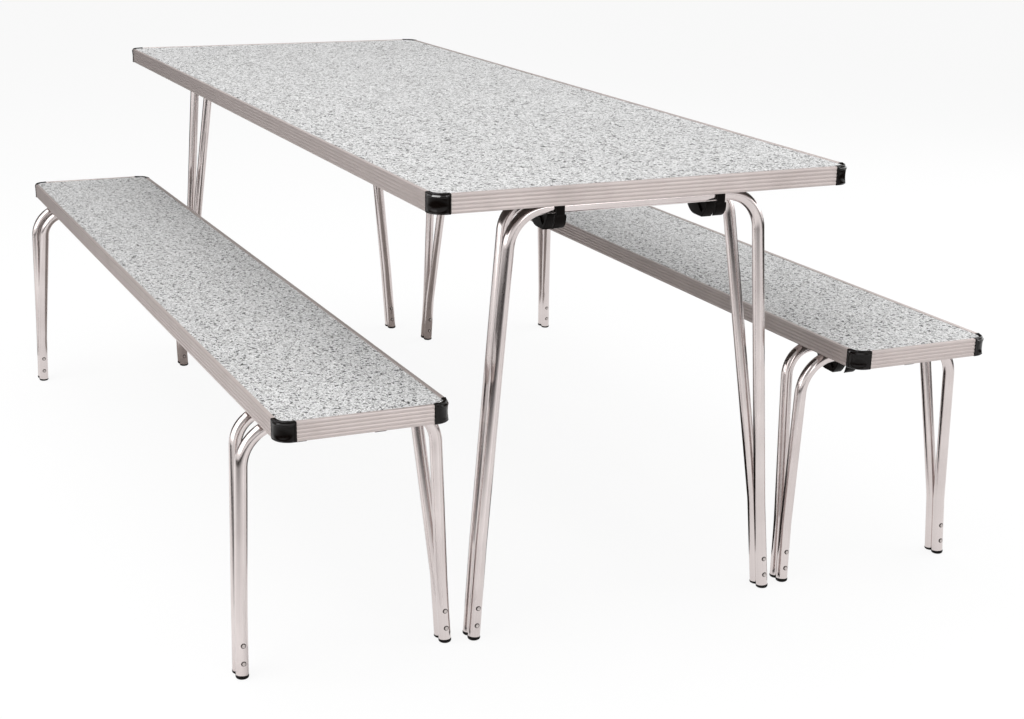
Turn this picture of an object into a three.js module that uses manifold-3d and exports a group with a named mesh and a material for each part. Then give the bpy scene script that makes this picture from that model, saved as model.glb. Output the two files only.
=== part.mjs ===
// A folding canteen table with two folding benches, each standing on two hinged leg frames.
// X runs along the boards (the near end is +X), Y across them (left is -Y) and Z up from the floor.
import * as THREE from "three";
import { mergeVertices } from "three/addons/utils/BufferGeometryUtils.js";
import Module from "manifold-3d";

// The set, in millimetres. Half widths are measured from the item's centre line.
const TABLE = {
  name: "table",
  length: 1830,
  width: 685,
  height: 698,
  lockBarFromEnd: 44,
  outerBowHalfWidth: 205,
  innerBowHalfWidth: 187,
  footHalfWidth: 260,
  kneeHeight: 150,
  clipHalfSpacing: 133,
  joinBows: false,
};
const BENCH = {
  length: 1830,
  width: 254,
  height: 420,
  lockBarFromEnd: 115,
  outerBowHalfWidth: 145,
  innerBowHalfWidth: 136,
  footHalfWidth: 160,
  kneeHeight: 100,
  clipHalfSpacing: 60,
  joinBows: true,
};
const BENCH_SPACING = 464; // table centre line to bench centre line
const BENCH_SHIFT = 62; // how far the benches stand nearer than the table

// Board and the aluminium edge that holds it.
const BOARD_THICK = 18;
const LAMINATE_THICK = 0.8; // the sheet that fills the field between the lips
const EDGE_HEIGHT = 28;
const EDGE_WEB = 3;
const LIP_WIDTH = 7;
const LIP_THICK = 1.5;
const FLANGE_WIDTH = 14;
const FLANGE_THICK = 1.6;
const REED_COUNT = 5;
const REED_DEPTH = 0.8;
const REED_STEPS = 3;

// Moulded corner cap.
const CAP_LENGTH = 27.5;
const CAP_RADIUS = 23;
const CAP_PROUD = 0.6;
const CAP_ABOVE = 0.8;
const CAP_BELOW = 0.5;
const CAP_LEDGE = 12;
const CAP_WAIST_DEPTH = 1.2;
const CAP_WAIST_TOP = 20;
const CAP_STEPS = 5;

// Leg tube and its bends.
const TUBE_RADIUS = 9.5;
const TUBE_SIDES = 12;
const OUTER_BEND = 60;
const INNER_BEND = 48;
const BEND_STEPS = 6;
const BAR_DROP = 38; // board top to the centre of both crossbars
const BAR_SPACING = 61; // pivot crossbar to lock crossbar
const FOOT_KICK = 6; // how far the feet stand out beyond the lock crossbar
const JOINED_PRESS = 0.15; // how far two bows riveted into one piece press together

// Foot plug under each tube end.
const PLUG_HEIGHT = 4.8;
const PLUG_RADIUS = 9.9;
const PLUG_EDGE = 2.2;
const PLUG_SOLE = 7.2;

// Clip block, in which the pivot crossbar turns and the lock crossbar snaps home.
const CLIP_THICK = 17.5;
const CLIP_STRAP = 13; // width of the strap round the lock crossbar, narrower than the block
const CLIP_BACK = 15;
const CLIP_WALL = 4.5;
const CLIP_NOSE_SWEEP = 49; // degrees of the lock crossbar's swing that the nose follows
const CLIP_JAW_SWEEP = 26; // degrees of it that the jaw follows
const CLIP_JAW_DROP = 32;
const CLIP_JAW_ROUND = 18;
const CLIP_JAW_SET = 3; // how far behind the lock crossbar the round of the jaw is centred
const CLIP_HEEL_DROP = 38;
const CLIP_HEEL_ROUND = 28;
const CLIP_PANEL_DEPTH = 2.5;
const CLIP_PANEL_RIM = 5;
const CLIP_BORE_SIDES = 12;
const CLIP_MOUTH_STEPS = 6;
const CLIP_ROUND_STEPS = 4;
const CLIP_PANEL_STEPS = 2;

// Clearances.
const SEAT_GAP = 0.2;
const END_GAP = 0.3;
const TUBE_GAP = 0.3;
const BAR_GAP = 0.4;
const CUT_PAST = 1; // how far a cut runs past the face it starts from

const LAMINATE = { color: 0xcbcbcb, roughness: 0.45, metalness: 0 };
const ALUMINIUM = { color: 0xc8c0be, roughness: 0.38, metalness: 0.9 };
const BLACK_NYLON = { color: 0x141112, roughness: 0.35, metalness: 0 };

const NEAR = { name: "near", turn: 0, side: 1 };
const FAR = { name: "far", turn: Math.PI, side: -1 };
const LEFT = -1;
const RIGHT = 1;
const sideName = (side) => (side === LEFT ? "left" : "right");

const wasm = await Module();
wasm.setup();

// A closed geometry as a solid that can be joined and cut.
function toSolid(geometry) {
  const bare = geometry.clone();
  bare.deleteAttribute("normal");
  bare.deleteAttribute("uv");
  const merged = mergeVertices(bare, 1e-4);
  return new wasm.Manifold(
    new wasm.Mesh({
      numProp: 3,
      vertProperties: new Float32Array(merged.attributes.position.array),
      triVerts: new Uint32Array(merged.index.array),
    }),
  );
}

function toGeometry(solid) {
  const mesh = solid.getMesh();
  const geometry = new THREE.BufferGeometry();
  geometry.setAttribute("position", new THREE.BufferAttribute(mesh.vertProperties, 3));
  geometry.setIndex(new THREE.BufferAttribute(mesh.triVerts, 1));
  geometry.computeVertexNormals();
  return geometry;
}

function namedMesh(name, geometry, look) {
  const mesh = new THREE.Mesh(geometry, new THREE.MeshStandardMaterial(look));
  mesh.name = name;
  return mesh;
}

// Points of an arc in straight steps, from one angle to another.
function arc(x, y, radius, from, to, steps) {
  const points = [];
  for (let step = 0; step <= steps; step += 1) {
    const angle = from + ((to - from) * step) / steps;
    points.push(new THREE.Vector2(x + radius * Math.cos(angle), y + radius * Math.sin(angle)));
  }
  return points;
}

// Turns a profile drawn in (outward, up) and extruded towards +Z so that its length lies along X.
const ALONG_X = new THREE.Matrix4().makeBasis(
  new THREE.Vector3(0, 1, 0),
  new THREE.Vector3(0, 0, 1),
  new THREE.Vector3(1, 0, 0),
);

// Turns a profile drawn in (X, Z) so that it is extruded along Y.
const ACROSS_Y = new THREE.Matrix4().makeBasis(
  new THREE.Vector3(1, 0, 0),
  new THREE.Vector3(0, 0, 1),
  new THREE.Vector3(0, -1, 0),
);

// Heights above the edge's bottom.
const BOARD_TOP = EDGE_HEIGHT - LIP_THICK - SEAT_GAP;
const BOARD_BOTTOM = BOARD_TOP - BOARD_THICK;
const FLANGE_TOP = BOARD_BOTTOM - SEAT_GAP;

// A slab with round corners, inset from the outline of the item.
function slab(item, inset, low, high) {
  const halfLength = item.length / 2 - inset;
  const halfWidth = item.width / 2 - inset;
  const radius = CAP_RADIUS - inset;
  const corners = [
    [1, 1],
    [-1, 1],
    [-1, -1],
    [1, -1],
  ];
  const points = corners.flatMap(([sx, sy], quarter) => {
    const from = (quarter * Math.PI) / 2;
    const x = sx * (halfLength - radius);
    const y = sy * (halfWidth - radius);
    return arc(x, y, radius, from, from + Math.PI / 2, CAP_STEPS);
  });
  const options = { depth: high - low, bevelEnabled: false };
  const geometry = new THREE.ExtrudeGeometry(new THREE.Shape(points), options);
  return toSolid(geometry.translate(0, 0, low));
}

// Board whose rim lies in the channel of the edges, with its laminate filling the field inside them.
function boardGeometry(item) {
  const core = slab(item, EDGE_WEB + END_GAP, BOARD_BOTTOM, BOARD_TOP);
  const field = slab(item, LIP_WIDTH + END_GAP, BOARD_BOTTOM + CUT_PAST, BOARD_TOP + LAMINATE_THICK);
  return toGeometry(core.add(field));
}

// Extruded edge: a reeded web with a lip over the board and a flange under it.
// Its length lies along X, its reeds face +Y with their crests at y = 0, and its bottom is at z = 0.
function edgeGeometry(length) {
  const profile = new THREE.Shape();
  const pitch = EDGE_HEIGHT / REED_COUNT;
  profile.moveTo(-EDGE_WEB, 0);
  profile.lineTo(-REED_DEPTH, 0);
  for (let reed = 0; reed < REED_COUNT; reed += 1) {
    profile.quadraticCurveTo(REED_DEPTH, (reed + 0.5) * pitch, -REED_DEPTH, (reed + 1) * pitch);
  }
  profile.lineTo(-LIP_WIDTH, EDGE_HEIGHT);
  profile.lineTo(-LIP_WIDTH, EDGE_HEIGHT - LIP_THICK);
  profile.lineTo(-EDGE_WEB, EDGE_HEIGHT - LIP_THICK);
  profile.lineTo(-EDGE_WEB, FLANGE_TOP);
  profile.lineTo(-FLANGE_WIDTH, FLANGE_TOP);
  profile.lineTo(-FLANGE_WIDTH, FLANGE_TOP - FLANGE_THICK);
  profile.lineTo(-EDGE_WEB, FLANGE_TOP - FLANGE_THICK);
  profile.closePath();
  const options = { depth: length, bevelEnabled: false, curveSegments: REED_STEPS };
  const geometry = new THREE.ExtrudeGeometry(profile, options);
  return geometry.translate(0, 0, -length / 2).applyMatrix4(ALONG_X);
}

// One storey of a corner cap: a bent strip between two offsets from the board's outer corner,
// which is at the origin, with the board towards -X and -Y.
function capStorey(proud, inset, low, high) {
  const centre = -CAP_RADIUS;
  const strip = new THREE.Shape([
    new THREE.Vector2(proud, -CAP_LENGTH),
    ...arc(centre, centre, CAP_RADIUS + proud, 0, Math.PI / 2, CAP_STEPS),
    new THREE.Vector2(-CAP_LENGTH, proud),
    new THREE.Vector2(-CAP_LENGTH, -inset),
    ...arc(centre, centre, CAP_RADIUS - inset, Math.PI / 2, 0, CAP_STEPS),
    new THREE.Vector2(-inset, -CAP_LENGTH),
  ]);
  const options = { depth: high - low, bevelEnabled: false };
  return toSolid(new THREE.ExtrudeGeometry(strip, options).translate(0, 0, low));
}

// Corner cap: a ledge under the board, a waisted wall round it and a lip over it.
function capGeometry() {
  const recessed = CAP_PROUD - CAP_WAIST_DEPTH;
  const lipBottom = EDGE_HEIGHT - LIP_THICK;
  const ledge = capStorey(CAP_PROUD, CAP_LEDGE, -CAP_BELOW, FLANGE_TOP);
  const waist = capStorey(recessed, EDGE_WEB, FLANGE_TOP, CAP_WAIST_TOP);
  const wall = capStorey(CAP_PROUD, EDGE_WEB, CAP_WAIST_TOP, lipBottom);
  const lip = capStorey(CAP_PROUD, LIP_WIDTH, lipBottom, EDGE_HEIGHT + CAP_ABOVE);
  return toGeometry(ledge.add(waist).add(wall).add(lip));
}

// Points of the arc that rounds a corner between two straight runs.
function roundedCorner(before, corner, after, radius, steps) {
  const back = before.clone().sub(corner).normalize();
  const on = after.clone().sub(corner).normalize();
  const half = back.angleTo(on) / 2;
  const centre = back.clone().add(on).normalize().multiplyScalar(radius / Math.sin(half)).add(corner);
  const first = back.clone().multiplyScalar(radius / Math.tan(half)).add(corner).sub(centre);
  const last = on.clone().multiplyScalar(radius / Math.tan(half)).add(corner).sub(centre);
  const turn = first.angleTo(last);
  const points = [];
  for (let step = 0; step <= steps; step += 1) {
    const share = step / steps;
    const point = first.clone().multiplyScalar(Math.sin((1 - share) * turn) / Math.sin(turn));
    point.addScaledVector(last, Math.sin(share * turn) / Math.sin(turn));
    points.push(point.add(centre));
  }
  return points;
}

// A route that gives one ring of the tube for each of its points, however far apart they are.
class Route extends THREE.Curve {
  constructor(points) {
    super();
    this.points = points;
  }
  getUtoTmapping(u) {
    return u;
  }
  getPoint(t, target = new THREE.Vector3()) {
    const place = t * (this.points.length - 1);
    const index = Math.min(Math.floor(place), this.points.length - 2);
    return target.lerpVectors(this.points[index], this.points[index + 1], place - index);
  }
}

const FULL_TURN = 2 * Math.PI;
const TUBE_SECTION = new THREE.Shape(arc(0, 0, TUBE_RADIUS, 0, FULL_TURN, TUBE_SIDES).slice(1));

const lockBarX = (item) => item.length / 2 - item.lockBarFromEnd;
const barHeight = (item) => item.height - BAR_DROP;
const bowPitch = (item) => 2 * TUBE_RADIUS + (item.joinBows ? -JOINED_PRESS : TUBE_GAP);

// Corner points of one leg of a bow on the right of the near end: foot, knee and crossbar corner.
// Both bows of a frame run side by side from the foot to the knee and part above it, and their
// tubes end in one plane, square to both of them, a plug's length above the floor.
function legCorners(item, bow) {
  const barX = lockBarX(item);
  const behind = bow === "inner" ? bowPitch(item) : 0;
  const height = barHeight(item);
  const splay = (item.footHalfWidth - item.outerBowHalfWidth) / height;
  const kneeHalfWidth = item.footHalfWidth - splay * item.kneeHeight;
  const topX = bow === "inner" ? barX - BAR_SPACING : barX;
  const topHalfWidth = bow === "inner" ? item.innerBowHalfWidth : item.outerBowHalfWidth;
  const foot = new THREE.Vector3(barX + FOOT_KICK - behind, item.footHalfWidth, 0);
  const knee = new THREE.Vector3(barX - behind, kneeHalfWidth, item.kneeHeight);
  const top = new THREE.Vector3(topX, topHalfWidth, height);
  const up = knee.clone().sub(foot).normalize();
  const plugLength = PLUG_HEIGHT / up.z + up.x * behind;
  const end = foot.clone().addScaledVector(up, plugLength);
  return { foot, knee, top, up, end, plugLength };
}

const mirrored = (point) => new THREE.Vector3(point.x, -point.y, point.z);

// One bow: a tube bent into a U that stands on its two ends.
function bowSolid(item, bow) {
  const { knee, top, end } = legCorners(item, bow);
  const radius = bow === "inner" ? INNER_BEND : OUTER_BEND;
  const middle = new THREE.Vector3(top.x, 0, top.z);
  const rightLeg = [end, knee, ...roundedCorner(knee, top, middle, radius, BEND_STEPS)];
  const leftLeg = rightLeg.map(mirrored).reverse();
  const points = [...rightLeg, ...leftLeg];
  const options = { steps: points.length - 1, extrudePath: new Route(points) };
  return toSolid(new THREE.ExtrudeGeometry(TUBE_SECTION, options));
}

// Twin foot: two plugs moulded side by side, with their soles cut level with the floor.
function twinFootGeometry(item, side) {
  const plugs = ["outer", "inner"].map((bow) => {
    const { foot, up, plugLength } = legCorners(item, bow);
    const profile = [
      new THREE.Vector2(0, -CUT_PAST),
      new THREE.Vector2(PLUG_SOLE, -CUT_PAST),
      new THREE.Vector2(PLUG_RADIUS, PLUG_EDGE),
      new THREE.Vector2(PLUG_RADIUS, plugLength - SEAT_GAP),
      new THREE.Vector2(0, plugLength - SEAT_GAP),
    ];
    const axis = side === RIGHT ? up : mirrored(up);
    const lean = new THREE.Quaternion().setFromUnitVectors(new THREE.Vector3(0, 1, 0), axis);
    const place = new THREE.Matrix4().makeRotationFromQuaternion(lean);
    place.setPosition(side === RIGHT ? foot : mirrored(foot));
    return toSolid(new THREE.LatheGeometry(profile, TUBE_SIDES).applyMatrix4(place));
  });
  const { foot } = legCorners(item, "outer");
  const reach = 4 * (PLUG_RADIUS + bowPitch(item));
  const belowFloor = new THREE.BoxGeometry(reach, reach, reach);
  belowFloor.translate(foot.x, side * foot.y, -reach / 2);
  return toGeometry(plugs[0].add(plugs[1]).subtract(toSolid(belowFloor)));
}

// Outline of the clip block seen along Y, with the pivot crossbar's centre at the origin and the
// lock crossbar BAR_SPACING in front of it. The mouth under the lock crossbar is open downwards,
// and both of its walls follow that crossbar's swing.
function clipOutline() {
  const top = BAR_DROP - EDGE_HEIGHT + BOARD_BOTTOM - SEAT_GAP;
  const barRoom = TUBE_RADIUS + BAR_GAP;
  const jawFront = BAR_SPACING + barRoom + CLIP_WALL;
  const jawX = BAR_SPACING - CLIP_JAW_SET;
  const jawZ = CLIP_JAW_ROUND - CLIP_JAW_DROP;
  const jawTop = Math.acos((jawFront - jawX) / CLIP_JAW_ROUND);
  const heelX = CLIP_HEEL_ROUND - CLIP_BACK;
  const heelZ = CLIP_HEEL_ROUND - CLIP_HEEL_DROP;
  const noseSweep = THREE.MathUtils.degToRad(-CLIP_NOSE_SWEEP);
  const jawSweep = THREE.MathUtils.degToRad(-CLIP_JAW_SWEEP);
  const jawInside = arc(0, 0, BAR_SPACING + barRoom, 0, jawSweep, CLIP_ROUND_STEPS).slice(1);
  const tip = jawInside.at(-1);
  const jawBottom = Math.atan2(tip.y - jawZ, tip.x - jawX);
  const outline = new THREE.Shape([
    new THREE.Vector2(-CLIP_BACK, top),
    ...arc(heelX, heelZ, CLIP_HEEL_ROUND, Math.PI, 1.5 * Math.PI, CLIP_ROUND_STEPS),
    ...arc(0, 0, BAR_SPACING - barRoom, noseSweep, 0, CLIP_ROUND_STEPS),
    ...arc(BAR_SPACING, 0, barRoom, Math.PI, 0, CLIP_MOUTH_STEPS).slice(1),
    ...jawInside,
    ...arc(jawX, jawZ, CLIP_JAW_ROUND, jawBottom, jawTop, CLIP_ROUND_STEPS).slice(1),
    new THREE.Vector2(jawFront, top),
  ]);
  const bore = arc(0, 0, barRoom, FULL_TURN, 0, CLIP_BORE_SIDES).slice(1);
  outline.holes.push(new THREE.Path(bore));
  return outline;
}

// Outline of the sunk panel in each side of the clip block, between its bore and its nose.
function clipPanelOutline() {
  const boreRim = TUBE_RADIUS + BAR_GAP + CLIP_PANEL_RIM;
  const noseRim = BAR_SPACING - TUBE_RADIUS - BAR_GAP - CLIP_PANEL_RIM;
  const low = THREE.MathUtils.degToRad(-CLIP_NOSE_SWEEP);
  return new THREE.Shape([
    new THREE.Vector2(noseRim, CLIP_PANEL_RIM),
    new THREE.Vector2(boreRim, CLIP_PANEL_RIM),
    ...arc(0, 0, boreRim, 0, low, CLIP_PANEL_STEPS),
    ...arc(0, 0, noseRim, low, 0, CLIP_PANEL_STEPS),
  ]);
}

function clipGeometry() {
  const options = { depth: CLIP_THICK, bevelEnabled: false };
  const blockGeometry = new THREE.ExtrudeGeometry(clipOutline(), options);
  let block = toSolid(blockGeometry.translate(0, 0, -CLIP_THICK / 2));
  const panelOptions = { depth: CLIP_PANEL_DEPTH + CUT_PAST, bevelEnabled: false };
  for (const start of [CLIP_THICK / 2 - CLIP_PANEL_DEPTH, -CLIP_THICK / 2 - CUT_PAST]) {
    const panel = new THREE.ExtrudeGeometry(clipPanelOutline(), panelOptions);
    block = block.subtract(toSolid(panel.translate(0, 0, start)));
  }
  for (const side of [LEFT, RIGHT]) {
    const beside = new THREE.BoxGeometry(2 * BAR_SPACING, 2 * BAR_SPACING, CLIP_THICK);
    const startX = BAR_SPACING - TUBE_RADIUS - BAR_GAP;
    beside.translate(startX + BAR_SPACING, BAR_SPACING - TUBE_RADIUS, side * (CLIP_THICK + CLIP_STRAP) / 2);
    block = block.subtract(toSolid(beside));
  }
  return toGeometry(block).applyMatrix4(ACROSS_Y);
}

// The two bows, the feet and the clips of one end of an item, drawn for the near end.
function addLegFrame(group, item, end) {
  const frame = new THREE.Group();
  frame.rotation.z = end.turn;
  const label = `${item.name}_${end.name}`;
  const outer = bowSolid(item, "outer");
  const inner = bowSolid(item, "inner");
  if (item.joinBows) {
    frame.add(namedMesh(`${label}_leg_bows`, toGeometry(outer.add(inner)), ALUMINIUM));
  } else {
    frame.add(namedMesh(`${label}_outer_bow`, toGeometry(outer), ALUMINIUM));
    frame.add(namedMesh(`${label}_inner_bow`, toGeometry(inner), ALUMINIUM));
  }
  for (const side of [LEFT, RIGHT]) {
    const place = sideName(side * end.side);
    frame.add(namedMesh(`${label}_${place}_foot`, twinFootGeometry(item, side), BLACK_NYLON));
    const clip = namedMesh(`${label}_${place}_clip`, clipGeometry(), BLACK_NYLON);
    clip.position.set(lockBarX(item) - BAR_SPACING, side * item.clipHalfSpacing, barHeight(item));
    frame.add(clip);
  }
  group.add(frame);
}

// The board, its four edges and its four corner caps.
function addTop(group, item) {
  const top = new THREE.Group();
  top.position.z = item.height - EDGE_HEIGHT;
  top.add(namedMesh(`${item.name}_board`, boardGeometry(item), LAMINATE));
  const edges = [
    { name: "right", along: item.length, out: item.width / 2, turn: 0 },
    { name: "far", along: item.width, out: item.length / 2, turn: Math.PI / 2 },
    { name: "left", along: item.length, out: item.width / 2, turn: Math.PI },
    { name: "near", along: item.width, out: item.length / 2, turn: -Math.PI / 2 },
  ];
  for (const { name, along, out, turn } of edges) {
    const geometry = edgeGeometry(along - 2 * (CAP_LENGTH + END_GAP));
    const edge = namedMesh(`${item.name}_${name}_edge`, geometry, ALUMINIUM);
    edge.rotation.z = turn;
    edge.position.set(-Math.sin(turn) * out, Math.cos(turn) * out, 0);
    top.add(edge);
  }
  const corners = [
    { name: "near_right", x: 1, y: 1, turn: 0 },
    { name: "far_right", x: -1, y: 1, turn: Math.PI / 2 },
    { name: "far_left", x: -1, y: -1, turn: Math.PI },
    { name: "near_left", x: 1, y: -1, turn: -Math.PI / 2 },
  ];
  for (const { name, x, y, turn } of corners) {
    const cap = namedMesh(`${item.name}_${name}_cap`, capGeometry(), BLACK_NYLON);
    cap.rotation.z = turn;
    cap.position.set((x * item.length) / 2, (y * item.width) / 2, 0);
    top.add(cap);
  }
  group.add(top);
}

function foldingItem(item, x, y) {
  const group = new THREE.Group();
  group.position.set(x, y, 0);
  addTop(group, item);
  addLegFrame(group, item, NEAR);
  addLegFrame(group, item, FAR);
  return group;
}

const set = new THREE.Group();
set.add(foldingItem(TABLE, -BENCH_SHIFT / 2, 0));
for (const side of [LEFT, RIGHT]) {
  const bench = { ...BENCH, name: `${sideName(side)}_bench` };
  set.add(foldingItem(bench, BENCH_SHIFT / 2, side * BENCH_SPACING));
}

export default set;
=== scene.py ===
# %% [markdown]
# # A folding canteen table and its two folding benches
# The set is three separate pieces of furniture. Each one has a laminate board in an aluminium edge
# with black corner caps, and stands on two leg frames of bent tube that fold up under the board.
# The solids of the set are loaded first. They are a fixed frame that says where everything is, and
# each of them is then given a finish, or is replaced by a finer surface in the same place.

# %% Load the solids
import math

import bmesh
import bpy
import numpy as np
from mathutils import Matrix, Vector
from mathutils.geometry import tessellate_polygon


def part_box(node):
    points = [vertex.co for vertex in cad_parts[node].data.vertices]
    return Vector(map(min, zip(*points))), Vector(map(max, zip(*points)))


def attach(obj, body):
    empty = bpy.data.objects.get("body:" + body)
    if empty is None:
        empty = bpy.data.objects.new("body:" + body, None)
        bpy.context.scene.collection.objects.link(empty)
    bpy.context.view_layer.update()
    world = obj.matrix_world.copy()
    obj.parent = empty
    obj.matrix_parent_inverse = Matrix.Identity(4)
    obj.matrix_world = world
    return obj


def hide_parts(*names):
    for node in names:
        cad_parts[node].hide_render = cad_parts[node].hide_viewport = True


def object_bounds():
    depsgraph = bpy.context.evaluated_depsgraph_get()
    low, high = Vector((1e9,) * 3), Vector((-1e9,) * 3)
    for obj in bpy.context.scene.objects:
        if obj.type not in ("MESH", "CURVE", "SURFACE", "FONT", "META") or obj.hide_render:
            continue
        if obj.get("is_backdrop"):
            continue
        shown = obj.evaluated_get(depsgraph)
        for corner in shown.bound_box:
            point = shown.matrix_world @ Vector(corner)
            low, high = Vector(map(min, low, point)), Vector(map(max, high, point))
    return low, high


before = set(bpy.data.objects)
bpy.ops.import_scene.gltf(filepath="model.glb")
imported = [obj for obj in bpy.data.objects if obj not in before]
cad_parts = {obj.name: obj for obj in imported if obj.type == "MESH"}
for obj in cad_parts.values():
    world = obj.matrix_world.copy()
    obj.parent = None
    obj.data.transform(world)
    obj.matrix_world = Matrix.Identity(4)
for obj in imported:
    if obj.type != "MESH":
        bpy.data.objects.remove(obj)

cad_low, cad_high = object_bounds()
size = tuple(round(value, 4) for value in cad_high - cad_low)
print(len(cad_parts), "solids, box in metres:", size)

# %% [markdown]
# ## The camera
# The camera was worked out from the straight edges of the three boards in the photograph. It stands
# in front of the near ends, a little to the left, and looks down on the table top. The photograph
# is cut from a larger frame, so the lens is shifted upwards instead of the camera being tilted
# further.

# %% Camera
AZIMUTH, ELEVATION, ROLL = (math.radians(angle) for angle in (65.240, 20.940, 0.960))
CAMERA_PLACE = (3.0416, -1.2115, 1.1492)
SENSOR_WIDTH = 36.0
FOCAL_PIXELS = 1716.47
IMAGE_WIDTH, IMAGE_HEIGHT = 1024, 719
AXIS_ROW = 497.19

camera = bpy.data.objects.new("camera", bpy.data.cameras.new("camera"))
bpy.context.scene.collection.objects.link(camera)
tilted = Matrix.Rotation(math.pi / 2 - ELEVATION, 4, "X") @ Matrix.Rotation(ROLL, 4, "Z")
turned = Matrix.Rotation(AZIMUTH, 4, "Z") @ tilted
camera.matrix_world = Matrix.Translation(CAMERA_PLACE) @ turned
camera.data.sensor_width = SENSOR_WIDTH
camera.data.lens = FOCAL_PIXELS / IMAGE_WIDTH * SENSOR_WIDTH
camera.data.shift_y = (AXIS_ROW - (IMAGE_HEIGHT - 1) / 2) / IMAGE_WIDTH
bpy.context.scene.camera = camera
bpy.context.scene.view_settings.view_transform = "Standard"
print("lens", round(camera.data.lens, 2), "mm, shift", round(camera.data.shift_y, 4))

# %% [markdown]
# ## Rings of points
# Nearly every piece here is a row of rings: a profile carried along a path, or a section turned
# round an axis. The faces between the rings follow from their numbers alone, so one function makes
# them for every piece, and another adds the two flat faces that close the ends.

# %% Rings of points


def ring_faces(rings, points):
    """Quads between neighbouring rings: points j and j + 1 of ring i join the same two points of
    ring i + 1, and the last point of a ring is followed by its first."""
    ring = np.arange(rings - 1)[:, None] * points
    point = np.arange(points)[None, :]
    after = (point + 1) % points
    corners = (ring + point, ring + after, ring + points + after, ring + points + point)
    return np.stack(np.broadcast_arrays(*corners), -1).reshape(-1, 4).tolist()


def closed_faces(rings, points):
    """The quads between the rings and one flat face across each end."""
    last = (rings - 1) * points
    return ring_faces(rings, points) + [list(range(points)), list(range(last, last + points))]


print("3 rings of 4 points, closed, have", len(closed_faces(3, 4)), "faces")

# %% [markdown]
# ## Pieces
# Sizes are written in millimetres, as a maker would, and turned to metres when a mesh is made.
# Every piece rides on a body of the frame, so that it follows that body's joint, and the solids
# that it stands for are hidden.

# %% Pieces
MM = 0.001
WELD_DISTANCE = 1e-6


def placed(points, turn, place):
    """Points turned about the upright axis by an angle and then moved to a place."""
    cos, sin = math.cos(turn), math.sin(turn)
    turned = np.stack([points[..., 0] * cos - points[..., 1] * sin,
                       points[..., 0] * sin + points[..., 1] * cos, points[..., 2]], -1)
    return turned + np.asarray(place, float)


def make_piece(name, parts, finish, run=None, sharp=35):
    """A mesh object from parts, each a pair of points in millimetres and faces that index them.
    run gives each point its place on the straightened piece, for patterns that follow its length.
    Edges that turn by more than sharp degrees stay crisp, and the others are shaded round."""
    starts = np.cumsum([0] + [len(points) for points, _ in parts]).tolist()
    points = np.concatenate([points for points, _ in parts]) * MM
    faces = [[index + start for index in face]
             for start, (_, part_faces) in zip(starts, parts) for face in part_faces]
    mesh = bpy.data.meshes.new(name)
    mesh.from_pydata(points.tolist(), [], faces)
    if run is not None:
        attribute = mesh.attributes.new("run", "FLOAT_VECTOR", "POINT")
        values = (np.concatenate(run) * MM).astype(np.float32)
        attribute.data.foreach_set("vector", values.ravel())
    shell = bmesh.new()
    shell.from_mesh(mesh)
    bmesh.ops.remove_doubles(shell, verts=shell.verts, dist=WELD_DISTANCE)
    bmesh.ops.recalc_face_normals(shell, faces=shell.faces)
    shell.to_mesh(mesh)
    shell.free()
    mesh.shade_smooth()
    mesh.set_sharp_from_angle(angle=math.radians(sharp))
    mesh.materials.append(finish)
    piece = bpy.data.objects.new(name, mesh)
    bpy.context.scene.collection.objects.link(piece)
    return piece


def stand_for(piece, body, slot, *nodes):
    """The piece rides on a body and hides the solids it replaces. The slot is not used."""
    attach(piece, body)
    if nodes:
        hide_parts(*nodes)
    return piece


def report(title, pieces):
    """Prints how many pieces were made and how many triangles they hold."""
    triangles = sum(len(face.vertices) - 2 for piece in pieces for face in piece.data.polygons)
    print(f"{title}: {len(pieces)} pieces, {triangles} triangles")


print("points closer than", WELD_DISTANCE / MM, "mm are welded into one")

# %% [markdown]
# ## Finishes
# A finish is a small tree of shader nodes. Colours are written as the hex values one would pick
# from a screen, and one function turns them into the linear numbers that the shader works in.
# Another function adds any node with its settings and inputs.

# %% Finishes


def linear(hex_colour):
    """The linear colour of an sRGB hex value: below 0.04045 it is divided by 12.92, and above that
    it is ((c + 0.055) / 1.055) to the power 2.4."""
    channels = np.array([int(hex_colour[i:i + 2], 16) for i in (1, 3, 5)]) / 255
    curve = ((channels + 0.055) / 1.055) ** 2.4
    values = np.where(channels <= 0.04045, channels / 12.92, curve)
    return (*values.tolist(), 1.0)


def new_finish(name, **values):
    """A material with a Principled shader whose sockets hold the given values."""
    material = bpy.data.materials.new(name)
    material.use_nodes = True
    shader = material.node_tree.nodes["Principled BSDF"]
    for key, value in values.items():
        shader.inputs[key.replace("_", " ")].default_value = value
    return material, material.node_tree, shader


def add_node(tree, kind, inputs=None, **settings):
    """Adds a node with its settings. An input is a fixed value or the output of another node."""
    node = tree.nodes.new(kind)
    for key, value in settings.items():
        setattr(node, key, value)
    for key, value in (inputs or {}).items():
        if isinstance(value, bpy.types.NodeSocket):
            tree.links.new(value, node.inputs[key])
        else:
            node.inputs[key].default_value = value
    return node


print("screen grey #808080 is", round(linear("#808080")[0], 3), "in linear light")

# %% [markdown]
# ## Patterns
# All the finishes here are built from a few steps: noise of some size, a range that picks a part of
# it out, a mix of two colours by that range, and a bump. Each step gets a function that adds its
# node to the tree of its first input and hands on the output, so that a finish reads like a recipe.

# %% Patterns
MIX_SHARE, MIX_FIRST, MIX_SECOND, MIX_OUT = 0, 6, 7, 2  # sockets of a Mix node set to colours


def noise(place, size, detail, bend=0):
    """Noise over a place, with features about that many millimetres across, bent out of line."""
    inputs = {"Vector": place, "Scale": 1 / (size * MM), "Detail": detail, "Distortion": bend}
    return add_node(place.id_data, "ShaderNodeTexNoise", inputs).outputs[0]


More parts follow.
